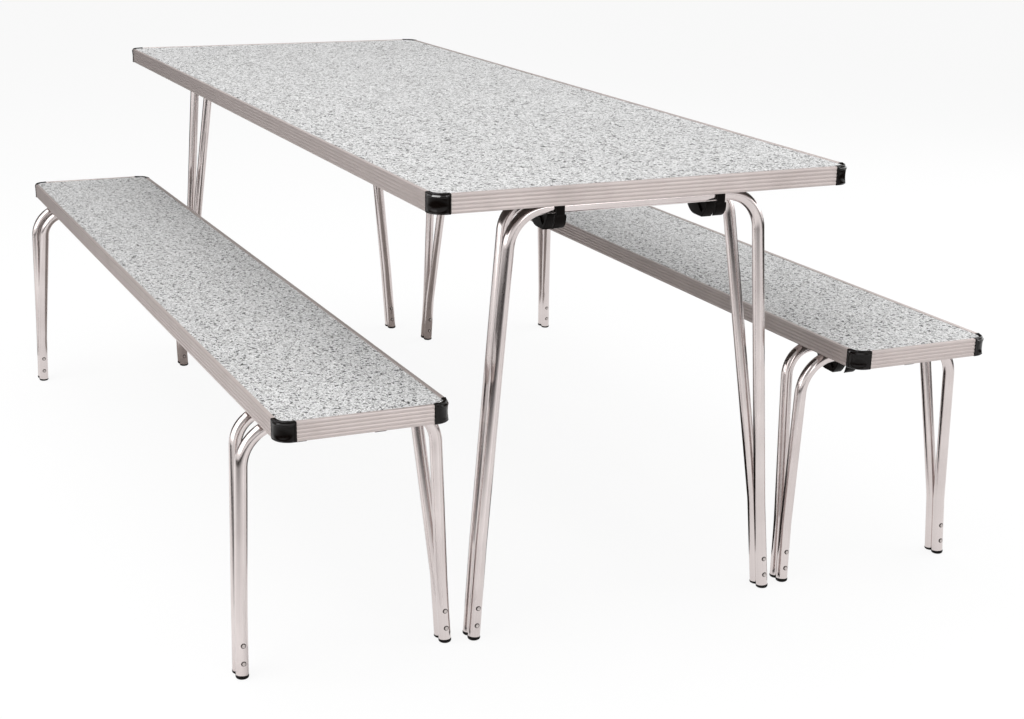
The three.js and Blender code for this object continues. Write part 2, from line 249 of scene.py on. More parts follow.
def ramp(value, start=0, end=1, low=0, high=1, kind="LINEAR"):
    """Carries a value from the range start to end over to the range low to high."""
    inputs = {"Value": value, "From Min": start, "From Max": end, "To Min": low, "To Max": high}
    node = add_node(value.id_data, "ShaderNodeMapRange", inputs, interpolation_type=kind)
    return node.outputs[0]


def mix(share, *colours):
    """A colour between two others, each of them a hex value or the output of a node."""
    first, second = (linear(colour) if isinstance(colour, str) else colour for colour in colours)
    inputs = {MIX_SHARE: share, MIX_FIRST: first, MIX_SECOND: second}
    return add_node(share.id_data, "ShaderNodeMix", inputs, data_type="RGBA").outputs[MIX_OUT]


def maths(operation, *terms):
    """A product or a comparison of terms: an output of a node first, then outputs or numbers."""
    inputs = dict(enumerate(terms))
    return add_node(terms[0].id_data, "ShaderNodeMath", inputs, operation=operation).outputs[0]


def along_axis(vector, axis):
    """One coordinate of a vector."""
    return add_node(vector.id_data, "ShaderNodeSeparateXYZ", {"Vector": vector}).outputs[axis]


def bump(height, strength, depth):
    """A bump of a depth in millimetres that follows a pattern."""
    inputs = {"Height": height, "Strength": strength, "Distance": depth * MM}
    return add_node(height.id_data, "ShaderNodeBump", inputs).outputs[0]


def dress(shader, colour, gloss, skin=None):
    """Links a colour, a roughness and a bump, if there is one, to the shader."""
    for key, output in (("Base Color", colour), ("Roughness", gloss), ("Normal", skin)):
        if output is not None:
            shader.id_data.links.new(output, shader.inputs[key])


print("steps of a finish: noise, ramp, mix, maths, along_axis, bump, dress")

# %% [markdown]
# ## Laminate
# The boards are faced with high-pressure laminate: printed paper under melamine resin, pressed to a
# satin face. The print is a pale neutral grey with fine mid grey grains and scattered dark flecks a
# few millimetres across. An image would do, but noise that is cut off at a level gives the same
# irregular flecks at any size and never repeats. The underside has a mottled brown balancing sheet
# instead, and the face's own direction tells the two apart.

# %% Laminate
CLOUD_SIZE, FLECK_SIZE, GRAIN_SIZE, PRESS_SIZE = 30, 5.0, 2.0, 1.6
CLOUD_CUT, FLECK_CUT, GRAIN_CUT = (0.35, 0.65), (0.56, 0.61), (0.42, 0.60)
FLECK_BEND, GRAIN_BEND = 1.0, 0.6
LAMINATE_SMOOTH, LAMINATE_ROUGH = 0.42, 0.58
PRESS_STRENGTH, PRESS_DEPTH = 0.12, 0.05

laminate, tree, shader = new_finish("fleck_printed_laminate", IOR=1.5, Specular_IOR_Level=0.3)
coordinates = add_node(tree, "ShaderNodeTexCoord").outputs
place = coordinates["Object"]
clouds = ramp(noise(place, CLOUD_SIZE, 3), *CLOUD_CUT, kind="SMOOTHSTEP")
flecks = ramp(noise(place, FLECK_SIZE, 2, FLECK_BEND), *FLECK_CUT, kind="SMOOTHSTEP")
grains = ramp(noise(place, GRAIN_SIZE, 3, GRAIN_BEND), *GRAIN_CUT, kind="SMOOTHSTEP")
press = noise(place, PRESS_SIZE, 2)

ground = mix(clouds, "#ECECEC", "#E2E2E2")
grained = mix(grains, ground, "#ABABAB")
printed = mix(flecks, grained, "#2C2C2C")
backing = mix(grains, "#302A26", "#4A423C")
facing_up = maths("GREATER_THAN", along_axis(coordinates["Normal"], "Z"), 0.5)
dress(shader, mix(facing_up, backing, printed),
      ramp(press, low=LAMINATE_SMOOTH, high=LAMINATE_ROUGH),
      bump(press, PRESS_STRENGTH, PRESS_DEPTH))

boards = [node for name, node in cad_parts.items() if name.endswith("_board")]
for board in boards:
    for material_slot in board.material_slots:
        material_slot.material = laminate
print("laminate on", len(boards), "boards")

# %% [markdown]
# ## Aluminium
# The edging is extruded and the leg tubes are drawn, both in aluminium with a satin anodised skin.
# The die leaves fine lines along the length, which spread a highlight sideways and leave it crisp
# lengthways. The lines need a pattern that follows each piece, so the pieces carry an attribute
# named run: the place of each point on the piece when it is laid out straight. Real die lines are a
# few hundredths of a millimetre wide and wouldn't show, so they are drawn about a millimetre wide.

# %% Aluminium
DIE_LINE_WIDTH, DIE_LINE_LENGTH, HAZE_SIZE = 1.1, 400, 90
DIE_LINE_SHARE, DULL_CUT = 0.5, (0.45, 1.05)
DIE_LINE_STRENGTH, DIE_LINE_DEPTH = 0.15, 0.04


def run_place(tree):
    """The output that gives each point's place on the straightened piece."""
    return add_node(tree, "ShaderNodeAttribute", attribute_name="run").outputs["Vector"]


def drawn_aluminium(name, bright, dull, smooth, rough):
    """Anodised aluminium between two colours and two roughnesses, with die lines along its run."""
    material, tree, shader = new_finish(name, Metallic=1.0)
    run = run_place(tree)
    squeeze = {"Vector": run, "Scale": (DIE_LINE_WIDTH / DIE_LINE_LENGTH, 1, 1)}
    lines = noise(add_node(tree, "ShaderNodeMapping", squeeze).outputs[0], DIE_LINE_WIDTH, 2)
    haze = noise(run, HAZE_SIZE, 3)
    dullness = ramp(maths("MULTIPLY_ADD", lines, DIE_LINE_SHARE, haze), *DULL_CUT)
    dress(shader, mix(dullness, bright, dull), ramp(dullness, low=smooth, high=rough),
          bump(lines, DIE_LINE_STRENGTH, DIE_LINE_DEPTH))
    return material


edging = drawn_aluminium("extruded_satin_aluminium", "#CCC2BF", "#BBB1AE", 0.48, 0.58)
tubing = drawn_aluminium("drawn_polished_aluminium", "#DED5D3", "#CBC1BF", 0.12, 0.2)
print("finishes:", edging.name, "and", tubing.name)

# %% [markdown]
# ## Black nylon
# The caps and the clip blocks are moulded in black nylon. A polished mould leaves the caps glossy
# with a faint orange peel, and the clip blocks come from a duller mould. One function with a gloss
# and a range of roughness makes both.

# %% Black nylon
NYLON_IOR = 1.53
PEEL_SIZE, PEEL_STRENGTH, PEEL_DEPTH = 2.5, 0.2, 0.03


def object_place(tree):
    """The output that gives each point's place on its object."""
    return add_node(tree, "ShaderNodeTexCoord").outputs["Object"]


def black_nylon(name, specular, smooth, rough):
    """Moulded black nylon with a share of the usual gloss, a range of roughness and orange peel."""
    material, tree, shader = new_finish(name, IOR=NYLON_IOR, Specular_IOR_Level=specular)
    peel = noise(object_place(tree), PEEL_SIZE, 2)
    dress(shader, mix(peel, "#070403", "#0E0907"),
          ramp(peel, low=smooth, high=rough), bump(peel, PEEL_STRENGTH, PEEL_DEPTH))
    return material


gloss_nylon = black_nylon("gloss_black_nylon", 0.2, 0.1, 0.16)
satin_nylon = black_nylon("satin_black_nylon", 0.06, 0.28, 0.42)
print("finishes:", gloss_nylon.name, "and", satin_nylon.name)

# %% [markdown]
# ## Edging
# Each board is held in four straight lengths of extrusion. Its face has five reeds, a lip lies over
# the rim of the board and a flange lies under it. The section is one closed line, and carrying it
# straight from end to end makes the whole piece. Each reed is one arch of a sine, so that its crest
# is round and the valley beside it is a crisp line, as the die cuts it.

# %% Edging
EDGE_HEIGHT, EDGE_WEB, REED_COUNT, REED_DEPTH, REED_POINTS = 28, 3, 5, 0.8, 12
LIP_WIDTH, LIP_THICK, FLANGE_WIDTH, FLANGE_TOP, FLANGE_THICK = 7, 1.5, 14, 8.1, 1.6
EDGE_EASE = 0.4  # the die rounds the free edges of the lip and the flange

ITEMS = ("table", "left_bench", "right_bench")
QUARTER = math.pi / 2
EDGE_TURNS = {"right": 0, "far": QUARTER, "left": 2 * QUARTER, "near": -QUARTER}


def edge_section():
    """The closed section as (outward, up) points: reeds with outward = depth * (sin(pi t) - 1) for
    t from one valley to the next, then the lip, the web and the flange in straight runs."""
    t = np.arange(REED_POINTS) / REED_POINTS
    reed, share = np.meshgrid(np.arange(REED_COUNT), t, indexing="ij")
    face = np.stack([REED_DEPTH * (np.sin(np.pi * share) - 1),
                     (reed + share) * EDGE_HEIGHT / REED_COUNT], -1).reshape(-1, 2)
    lip_under, flange_under = EDGE_HEIGHT - LIP_THICK, FLANGE_TOP - FLANGE_THICK
    rest = np.array([
        (-REED_DEPTH, EDGE_HEIGHT), (EDGE_EASE - LIP_WIDTH, EDGE_HEIGHT),
        (-LIP_WIDTH, EDGE_HEIGHT - EDGE_EASE), (-LIP_WIDTH, lip_under), (-EDGE_WEB, lip_under),
        (-EDGE_WEB, FLANGE_TOP), (EDGE_EASE - FLANGE_WIDTH, FLANGE_TOP),
        (-FLANGE_WIDTH, FLANGE_TOP - EDGE_EASE), (-FLANGE_WIDTH, flange_under),
        (-EDGE_WEB, flange_under), (-EDGE_WEB, 0)])
    return np.concatenate([face, rest])


def node_box(node):
    """The lowest and highest corner of a solid, in millimetres."""
    return (np.array(corner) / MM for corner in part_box(node))


def make_edge(item, side):
    node = f"{item}_{side}_edge"
    low, high = node_box(node)
    middle = (low + high) / 2
    outer = {"right": (middle[0], high[1]), "left": (middle[0], low[1]),
             "near": (high[0], middle[1]), "far": (low[0], middle[1])}[side]
    half = (high - low)[0 if side in ("left", "right") else 1] / 2
    section = edge_section()
    ends = np.array([-half, half])[:, None]
    run = np.stack(np.broadcast_arrays(ends, section[:, 0], section[:, 1]), -1).reshape(-1, 3)
    points = placed(run, EDGE_TURNS[side], (*outer, low[2]))
    faces = closed_faces(2, len(section))
    piece = make_piece(f"{node}_reeded", [(points, faces)], edging, [run])
    return stand_for(piece, item, "edging", node)


report("edging", [make_edge(item, side) for item in ITEMS for side in EDGE_TURNS])

# %% [markdown]
# ## The plan of a corner cap
# A moulded cap closes each corner of a board. Seen from above it follows the board: a short
# straight, a quarter circle and another short straight. The points of this line stand closer
# together in the straights, where a mitre will run out to nothing.

# %% Cap plan
CAP_LENGTH, CAP_RADIUS, CAP_END_EASE = 27.5, 23, 0.6
CAP_STEPS, CAP_MITRE_STEPS = 40, 8


def cap_plan():
    """Points and outward directions along the board's corner, and the distance from its middle: a
    short straight, a quarter circle of the corner's radius and a short straight."""
    turn = np.linspace(0, QUARTER, CAP_STEPS)
    outward = np.stack([np.cos(turn), np.sin(turn)], -1)
    arc = CAP_RADIUS * (outward - 1)
    straight = np.linspace(CAP_END_EASE, CAP_LENGTH - CAP_RADIUS, CAP_MITRE_STEPS)[:-1]
    straight = np.concatenate([[0], straight])
    first = np.stack([np.zeros(CAP_MITRE_STEPS), straight - CAP_LENGTH], -1)
    points = np.concatenate([first, arc, first[::-1, ::-1]])
    outward = np.concatenate([np.tile([1.0, 0.0], (CAP_MITRE_STEPS, 1)), outward,
                              np.tile([0.0, 1.0], (CAP_MITRE_STEPS, 1))])
    steps = np.linalg.norm(np.diff(points, axis=0), axis=1)
    distance = np.concatenate([[0], np.cumsum(steps)])
    return points, outward, distance - distance[-1] / 2


print("a cap is", round(2 * cap_plan()[2][-1], 1), "mm long round its corner")

# %% [markdown]
# ## The surface of a corner cap
# The cap has a lip over the laminate, a foot under the board, and a glossy wall that is dished in
# the middle and has a plain border. Between the wall and the lip a slanted ledge catches the light,
# and it runs out at both ends like a mitre. The wall could be cut with booleans, but as a function
# of two parameters it comes out smooth: one runs round the corner in plan and the other round the
# section.

# %% Cap surface
CAP_PROUD, CAP_ABOVE, CAP_BELOW, CAP_FOOT, CAP_EASE = 0.6, 0.8, 0.5, 12, 0.8
CAP_SHOULDER, CAP_LIP_DROP, CAP_LEDGE_RISE, CAP_SET_BACK, CAP_MITRE = 1.5, 1.5, 1.9, 2.4, 7.0
CAP_BORDER, CAP_BLEND, CAP_PANEL_DEPTH = 2.6, 1.0, 0.5
CAP_DISH_DEPTH, CAP_DISH_MIDDLE, CAP_DISH_HALF_HEIGHT = 0.8, 12.5, 10.5
CAP_WALL_STEPS, CAP_SHOULDER_STEPS = 44, 9
LEAST_STEP = 0.05  # a ledge of no width would give edges without a direction


def unit(vectors):
    """Vectors divided by their lengths."""
    return vectors / np.linalg.norm(vectors, axis=-1, keepdims=True)


def inset(loop, distance):
    """The loop moved inwards, with one row for each distance: each point goes along the sum of its
    two edges' inward directions, divided by 1 plus their dot product."""
    edge = unit(np.roll(loop, -1, axis=0) - loop)
    inward = np.stack([-edge[:, 1], edge[:, 0]], -1)
    before = np.roll(inward, 1, axis=0)
    share = (before + inward) / (1 + np.sum(before * inward, axis=1, keepdims=True))
    return loop + np.asarray(distance)[:, None, None] * share


def smooth_step(x):
    """0 below 0, 1 above 1, and 3x^2 - 2x^3 between."""
    x = np.clip(x, 0, 1)
    return x * x * (3 - 2 * x)


def cap_points():
    """Grid of the cap: rows go round the corner and columns round the section. The wall stands at
    proud - panel * border - dish * smooth(1 - r^2), where border is 1 inside the plain border, and
    r is the distance from the dish's middle in units of its half sizes. Above it a ledge steps back
    to the lip, by a share that goes from nearly 0 at the cap's ends to 1 a mitre's length away."""
    plan, outward, distance = cap_plan()
    half_length = distance[-1]
    top = EDGE_HEIGHT + CAP_ABOVE
    from_end = half_length - np.abs(distance)[:, None]
    step_back = np.clip((from_end - CAP_END_EASE) / CAP_MITRE, LEAST_STEP, 1)
    wall_top = top - CAP_SHOULDER - (CAP_LIP_DROP + CAP_LEDGE_RISE) * step_back
    share = np.linspace(0, 1, CAP_WALL_STEPS)[None, :]
    up_wall = CAP_EASE - CAP_BELOW + share * (wall_top - CAP_EASE + CAP_BELOW)
    from_rim = np.minimum(up_wall + CAP_BELOW, wall_top - up_wall)
    border = smooth_step((from_end - CAP_BORDER) / CAP_BLEND)
    border = border * smooth_step(from_rim / CAP_BLEND - 1)
    reach = (distance[:, None] / (half_length - CAP_BORDER)) ** 2
    reach = reach + ((up_wall - CAP_DISH_MIDDLE) / CAP_DISH_HALF_HEIGHT) ** 2
    wall = CAP_PROUD - CAP_PANEL_DEPTH * border - CAP_DISH_DEPTH * smooth_step(1 - reach)

    lip = CAP_PROUD - CAP_SET_BACK * step_back
    ledge_top = wall_top + CAP_LEDGE_RISE * step_back
    turn = np.linspace(0, QUARTER, CAP_SHOULDER_STEPS)[None, :]
    shoulder = lip - CAP_SHOULDER * (1 - np.cos(turn))
    up_shoulder = np.broadcast_to(top - CAP_SHOULDER * (1 - np.sin(turn)), shoulder.shape)
    lip_under = EDGE_HEIGHT - LIP_THICK
    inside = np.array([
        (CAP_EASE - LIP_WIDTH, top), (-LIP_WIDTH, top - CAP_EASE), (-LIP_WIDTH, lip_under),
        (-EDGE_WEB, lip_under), (-EDGE_WEB, FLANGE_TOP), (-CAP_FOOT, FLANGE_TOP),
        (-CAP_FOOT, -CAP_BELOW), (CAP_PROUD - CAP_EASE, -CAP_BELOW)])
    inside = np.broadcast_to(inside, (len(distance), *inside.shape))
    section = np.stack([
        np.concatenate([wall, lip, shoulder, inside[..., 0]], axis=1),
        np.concatenate([up_wall, ledge_top, up_shoulder, inside[..., 1]], axis=1)], -1)
    section[[0, -1]] = inset(section[0], [CAP_END_EASE, CAP_END_EASE])
    flat = plan[:, None, :] + outward[:, None, :] * section[..., :1]
    return np.concatenate([flat, section[..., 1:]], -1)


print("rows of a cap, and points in a row:", cap_points().shape[:2])

# %% [markdown]
# ## Corner caps in place
# All twelve caps are the same moulding, turned by quarter turns. The outer corner of each solid
# says where its cap goes.

# %% Corner caps
CAP_TURNS = {"near_right": 0, "far_right": QUARTER, "far_left": 2 * QUARTER, "near_left": -QUARTER}
CAP_SHARP = 38


def make_cap(item, corner):
    node = f"{item}_{corner}_cap"
    low, high = node_box(node)
    x = high[0] - CAP_PROUD if corner.startswith("near") else low[0] + CAP_PROUD
    y = high[1] - CAP_PROUD if corner.endswith("right") else low[1] + CAP_PROUD
    grid = cap_points()
    points = placed(grid.reshape(-1, 3), CAP_TURNS[corner], (x, y, low[2] + CAP_BELOW))
    faces = closed_faces(*grid.shape[:2])
    piece = make_piece(f"{node}_dished", [(points, faces)], gloss_nylon, sharp=CAP_SHARP)
    return stand_for(piece, item, "moulding", node)


report("corner caps", [make_cap(item, corner) for item in ITEMS for corner in CAP_TURNS])

# %% [markdown]
# ## The lines of a leg frame
# Each leg frame is two bows of drawn tube. The outer bow's crossbar snaps into the clip blocks, the
# inner bow's crossbar turns in them, and lower down the two run side by side and are riveted
# together. Three corners of one leg are enough to draw a bow: its foot, its knee and the end of its
# crossbar.

# %% Leg lines
BOARD_LENGTH = 1830
TABLE_LEGS = {"height": 698, "lock_bar_from_end": 44, "outer_half_width": 205, "bow_pitch": 19.3,
              "inner_half_width": 187, "foot_half_width": 260, "knee_height": 150}
BENCH_LEGS = {"height": 420, "lock_bar_from_end": 115, "outer_half_width": 145, "bow_pitch": 18.85,
              "inner_half_width": 136, "foot_half_width": 160, "knee_height": 100}
LEGS = {"table": TABLE_LEGS, "left_bench": BENCH_LEGS, "right_bench": BENCH_LEGS}
BAR_DROP, BAR_SPACING, FOOT_KICK, PLUG_HEIGHT = 38, 61, 6, 6.2


def leg_corners(legs, bow):
    """Foot, knee and crossbar corner of a bow's right leg at the near end, the leg's direction
    above the foot, and how far up it the tube ends. Both tubes of a leg end in one plane square to
    it."""
    bar_x = BOARD_LENGTH / 2 - legs["lock_bar_from_end"]
    height = legs["height"] - BAR_DROP
    behind = legs["bow_pitch"] if bow == "inner" else 0
    top_behind = BAR_SPACING if bow == "inner" else 0
    splay = (legs["foot_half_width"] - legs["outer_half_width"]) / height
    knee_half_width = legs["foot_half_width"] - splay * legs["knee_height"]
    foot = np.array([bar_x + FOOT_KICK - behind, legs["foot_half_width"], 0])
    knee = np.array([bar_x - behind, knee_half_width, legs["knee_height"]])
    top = np.array([bar_x - top_behind, legs[f"{bow}_half_width"], height])
    rise = (knee - foot) / np.linalg.norm(knee - foot)
    return foot, knee, top, rise, PLUG_HEIGHT / rise[2] + rise[0] * behind


for bow in ("outer", "inner"):
    print("table,", bow, "bow: foot, knee, top at", *(
        corner.round(1).tolist() for corner in leg_corners(TABLE_LEGS, bow)[:3]))

# %% [markdown]
# ## Bent tubes
# A tube is a ring of points carried along its centre line. The line is made of straight runs joined
# by arcs, so the bends are as smooth as a bending machine leaves them. A curve object with a bevel
# would do the same, but a grid of points also gives every point its place on the straightened tube.

# %% Bent tubes
TUBE_RADIUS, TUBE_SIDES = 9.5, 32
BENDS, KNEE_BEND, BEND_STEPS = {"outer": 60, "inner": 48}, 220, 16


def rounded_path(corners, radii, steps):
    """Straight runs joined by arcs. An arc's centre lies radius / sin(half) along the corner's
    bisector, and its points are a spherical interpolation between its two ends on the runs."""
    corner, radius = corners[1:-1], np.asarray(radii, float)[:, None]
    before, after = unit(corners[:-2] - corner), unit(corners[2:] - corner)
    half = np.arccos(np.sum(before * after, axis=1, keepdims=True)) / 2
    centre = corner + unit(before + after) * radius / np.sin(half)
    first = (corner + before * radius / np.tan(half) - centre)[:, None, :]
    last = (corner + after * radius / np.tan(half) - centre)[:, None, :]
    turn = (np.pi - 2 * half)[:, None, :]
    share = np.linspace(0, 1, steps + 1)[None, :, None]
    arcs = np.sin((1 - share) * turn) * first + np.sin(share * turn) * last
    arcs = centre[:, None, :] + arcs / np.sin(turn)
    return np.concatenate([corners[:1], arcs.reshape(-1, 3), corners[-1:]])


def bow_path(legs, bow):
    """The centre line of a whole bow: its right leg, its crossbar and the mirrored leg."""
    foot, knee, top, rise, plug = leg_corners(legs, bow)
    right_leg = np.stack([foot + rise * plug, knee, top])
    corners = np.concatenate([right_leg, (right_leg * [1, -1, 1])[::-1]])
    return rounded_path(corners, [KNEE_BEND, BENDS[bow], BENDS[bow], KNEE_BEND], BEND_STEPS)


def circle(sides):
    """The cosines and sines of evenly spaced angles."""
    angle = np.arange(sides) * 2 * np.pi / sides
    return np.cos(angle), np.sin(angle)


def square_to(direction):
    """Two directions square to one that doesn't run along X: sideways, and the one facing X."""
    side = unit(np.cross(direction, [1.0, 0, 0]))
    return side, np.cross(side, direction)


def tube_part(path):
    """A ring of the tube at each point of a path that never runs along X: its plane is square to
    the path, and its first point faces X. Also gives the points' places on the straight tube."""
    steps = np.diff(path, axis=0)
    runs = unit(steps)
    tangent = unit(np.concatenate([runs[:1], runs[:-1] + runs[1:], runs[-1:]]))
    side, front = square_to(tangent)
    cos, sin = (TUBE_RADIUS * values for values in circle(TUBE_SIDES))
    rings = path[:, None] + front[:, None] * cos[:, None] + side[:, None] * sin[:, None]
    along = np.concatenate([[0], np.cumsum(np.linalg.norm(steps, axis=1))])
    run = np.stack(np.broadcast_arrays(along[:, None], cos, sin), -1)
    return rings.reshape(-1, 3), closed_faces(len(path), TUBE_SIDES), run.reshape(-1, 3)


tube_length = tube_part(bow_path(TABLE_LEGS, "outer"))[2][:, 0].max()
print("the table's outer bow is bent from", round(tube_length), "mm of tube")

# %% [markdown]
# ## Leg bows in place
# The frame keeps the two bows of a table leg frame as solids of their own, and the two of a bench
# leg frame as one solid, so a piece here is one tube or two. The far frame is the near one turned
# round.

# %% Leg bows
END_TURNS = {"near": 0, "far": math.pi}
TABLE_BOWS = {"outer_bow": ["outer"], "inner_bow": ["inner"]}
BENCH_BOWS = {"leg_bows": ["outer", "inner"]}


def at_end(points, item, end):
    """Points of a near leg frame, drawn about the middle of its board, at one end of an item."""
    low, high = node_box(f"{item}_board")
    return placed(points, END_TURNS[end], ((low[0] + high[0]) / 2, (low[1] + high[1]) / 2, 0))


def make_bows(item, end):
    """The bows of one leg frame: two pieces on the table, and one of two tubes on a bench."""
    pieces = []
    for label, bows in (TABLE_BOWS if item == "table" else BENCH_BOWS).items():
        node = f"{item}_{end}_{label}"
        tubes = [tube_part(bow_path(LEGS[item], bow)) for bow in bows]
        parts = [(at_end(points, item, end), faces) for points, faces, _ in tubes]
        piece = make_piece(f"{node}_tube", parts, tubing, [run for _, _, run in tubes])
        pieces.append(stand_for(piece, f"{item}_{end}_legs", "tube", node))
    return pieces


report("leg bows", [bow for item in ITEMS for end in END_TURNS for bow in make_bows(item, end)])

# %% [markdown]
# ## Worn nylon
# The plugs under the feet are black nylon as well, rubbed grey by the floor, most of all near their
# soles. So their finish is rougher than that of the caps and goes paler in the lowest millimetres,
# by a pattern of scuffs.

# %% Worn nylon
SCUFF_SIZE, SCUFF_HEIGHT, SCUFF_ABOVE, SCUFF_BELOW = 1.8, 2.5, 0.15, 0.8
PLUG_SMOOTH, PLUG_ROUGH = 0.38, 0.6

worn_nylon, tree, shader = new_finish("floor_worn_black_nylon", IOR=NYLON_IOR,
                                      Specular_IOR_Level=0.1)
place = object_place(tree)
low_down = ramp(along_axis(place, "Z"), SCUFF_HEIGHT * MM, 0, SCUFF_ABOVE, SCUFF_BELOW)
worn = maths("MULTIPLY", low_down, noise(place, SCUFF_SIZE, 4))
dress(shader, mix(worn, "#060404", "#221E1C"),
      ramp(worn, low=PLUG_SMOOTH, high=PLUG_ROUGH))
print("finish:", worn_nylon.name)

# %% [markdown]
# ## Foot plugs
# A black plug closes each tube end and stands on the floor. It is a dome with a flat sole. Because
# the legs lean, a plain turned shape would stand on one edge, so the rings of the dome tilt
# gradually from square to the leg, where the plug meets the tube, to level at the sole.

# %% Foot plugs
PLUG_RADIUS, PLUG_ROUND, PLUG_SOLE, PLUG_EASE, PLUG_SEAT_GAP = 9.9, 3.2, 5.6, 0.4, 0.2
PLUG_ROUND_STEPS = 10
SIDES = {"left": -1, "right": 1}


def plug_part(foot, rise, length):
    """Rings of a plug from its seat on the tube to its sole. Below the straight rim the radius is
    sole + (radius - sole) * sqrt(1 - x^2), where x goes from 0 at the rim to 1 at the floor, and
    each ring's height goes by the same x from that of a square ring to that of a level one."""
    x = np.linspace(0, 1, PLUG_ROUND_STEPS)
    seat = length - PLUG_SEAT_GAP
    height = np.concatenate([[seat, seat - PLUG_EASE], PLUG_ROUND * (1 - x)])
    radius = np.concatenate([[PLUG_RADIUS - PLUG_EASE, PLUG_RADIUS],
                             PLUG_SOLE + (PLUG_RADIUS - PLUG_SOLE) * np.sqrt(1 - x ** 2)])
    level = np.concatenate([[0, 0], x])[:, None]
    side, front = square_to(rise)
    cos, sin = circle(TUBE_SIDES)
    ring = cos[:, None] * front + sin[:, None] * side
    points = foot + height[:, None, None] * rise + radius[:, None, None] * ring
    points[..., 2] = (1 - level) * points[..., 2] + level * height[:, None] * rise[2]
    return points.reshape(-1, 3), closed_faces(len(height), TUBE_SIDES)


def leg_foot(item, end, side, bow):
    """A leg's foot and direction, mirrored as its side needs before its end is turned round, and
    the length of its plug."""
    foot, _, _, rise, length = leg_corners(LEGS[item], bow)
    mirror = np.array([1, SIDES[side] * math.cos(END_TURNS[end]), 1])
    return foot * mirror, rise * mirror, length


def make_foot(item, end, side):
    node = f"{item}_{end}_{side}_foot"
    plugs = [plug_part(*leg_foot(item, end, side, bow)) for bow in BENDS]
    parts = [(at_end(points, item, end), faces) for points, faces in plugs]
    piece = make_piece(f"{node}_plugs", parts, worn_nylon)
    return stand_for(piece, f"{item}_{end}_legs", "foot_plug", node)


LEG_PLACES = [(item, end, side) for item in ITEMS for end in END_TURNS for side in SIDES]
report("foot plugs", [make_foot(*place) for place in LEG_PLACES])

# %% [markdown]
# ## The outlines of a clip block
# Two moulded blocks per frame are fixed under the board. The inner crossbar turns in a bore at the
# back of the block, and the outer crossbar swings up into a mouth at the front and snaps past its
# jaw. The strap round the crossbar is narrower than the nose behind it and the jaw below it, so the
# three are plates of their own that run into each other. Each gets an outline of arcs, many of them
# about the pivot, because the outer crossbar swings about it.

# %% Clip outlines
CLIP_BACK, CLIP_WALL, CLIP_TOP, BAR_ROOM = 15, 4.5, 18.1, 9.9
CLIP_NOSE_SWEEP, CLIP_JAW_SWEEP = math.radians(49), math.radians(26)
CLIP_JAW_DROP, CLIP_JAW_ROUND, CLIP_JAW_SET = 32, 18, 3
CLIP_HEEL_DROP, CLIP_HEEL_ROUND = 38, 28
CLIP_OVERLAP = 5  # how far the strap runs into the nose
STRAP_END, JAW_START = 0.5, 0.3  # shares of the jaw's sweep, so that the strap runs into the jaw
CLIP_ARC_STEPS = 14
NOSE_REACH, MOUTH_REACH = BAR_SPACING - BAR_ROOM, BAR_SPACING + BAR_ROOM


def arc_line(x, z, radius, start, end, steps=CLIP_ARC_STEPS):
    """Points of an arc about (x, z) from one angle to another."""
    angle = np.linspace(start, end, steps + 1)
    return np.stack([x + radius * np.cos(angle), z + radius * np.sin(angle)], -1)


def nose_outline():
    """The block behind the mouth, seen along Y with the pivot crossbar's centre at the origin. Its
    front is an arc about the pivot, so that the outer crossbar can swing past."""
    heel_x, heel_z = CLIP_HEEL_ROUND - CLIP_BACK, CLIP_HEEL_ROUND - CLIP_HEEL_DROP
    return np.concatenate([
        [(-CLIP_BACK, CLIP_TOP)],
        arc_line(heel_x, heel_z, CLIP_HEEL_ROUND, math.pi, 1.5 * math.pi),
        arc_line(0, 0, NOSE_REACH, -CLIP_NOSE_SWEEP, 0), [(NOSE_REACH, CLIP_TOP)]])


def strap_outline():
    """The strap over and in front of the outer crossbar, whose mouth is half a circle."""
    behind, front = NOSE_REACH - CLIP_OVERLAP, MOUTH_REACH + CLIP_WALL
    return np.concatenate([
        [(behind, CLIP_TOP), (behind, 0)],
        arc_line(BAR_SPACING, 0, BAR_ROOM, math.pi, 0),
        arc_line(0, 0, MOUTH_REACH, 0, -STRAP_END * CLIP_JAW_SWEEP)[1:],
        [(front, -BAR_ROOM), (front, CLIP_TOP)]])


def jaw_outline():
    """The jaw under the strap: its inside is an arc about the pivot, and its outside is a round
    that starts at the inside's lower end and runs up into the front of the strap."""
    jaw_x, jaw_z = BAR_SPACING - CLIP_JAW_SET, CLIP_JAW_ROUND - CLIP_JAW_DROP
    inside = arc_line(0, 0, MOUTH_REACH, -JAW_START * CLIP_JAW_SWEEP, -CLIP_JAW_SWEEP)
    bottom = math.atan2(inside[-1, 1] - jaw_z, inside[-1, 0] - jaw_x)
    top = math.acos((BAR_ROOM + CLIP_WALL + CLIP_JAW_SET) / CLIP_JAW_ROUND)
    return np.concatenate([inside, arc_line(jaw_x, jaw_z, CLIP_JAW_ROUND, bottom, top)[1:]])


print("points in the outlines of nose, strap and jaw:",
      [len(outline()) for outline in (nose_outline, strap_outline, jaw_outline)])

# %% [markdown]
# ## Plates with rounded edges
# A plate is an outline carried across its thickness in rows. The outermost rows step inwards along
# a quarter circle, which rounds the edges as a mould does. A bevel modifier could round them too,
# but here the rows are known in advance. The flat sides are then filled round the holes and sunk
# panels.

# %% Plates
STRAP_THICK, PLATE_EASE, PLATE_EASE_STEPS = 13, 0.9, 5
PANEL_DEPTH, PANEL_DRAFT = 2.5, 0.5


def layered(loops, y):
    """Rows of (X, Z) loops placed at a Y each."""
    y = np.broadcast_to(np.asarray(y, float)[:, None], loops.shape[:2])
    return np.stack([loops[..., 0], y, loops[..., 1]], -1)


def walls(grid):
    """The points of a grid and the quads between its rows."""
    return grid.reshape(-1, 3), ring_faces(*grid.shape[:2])


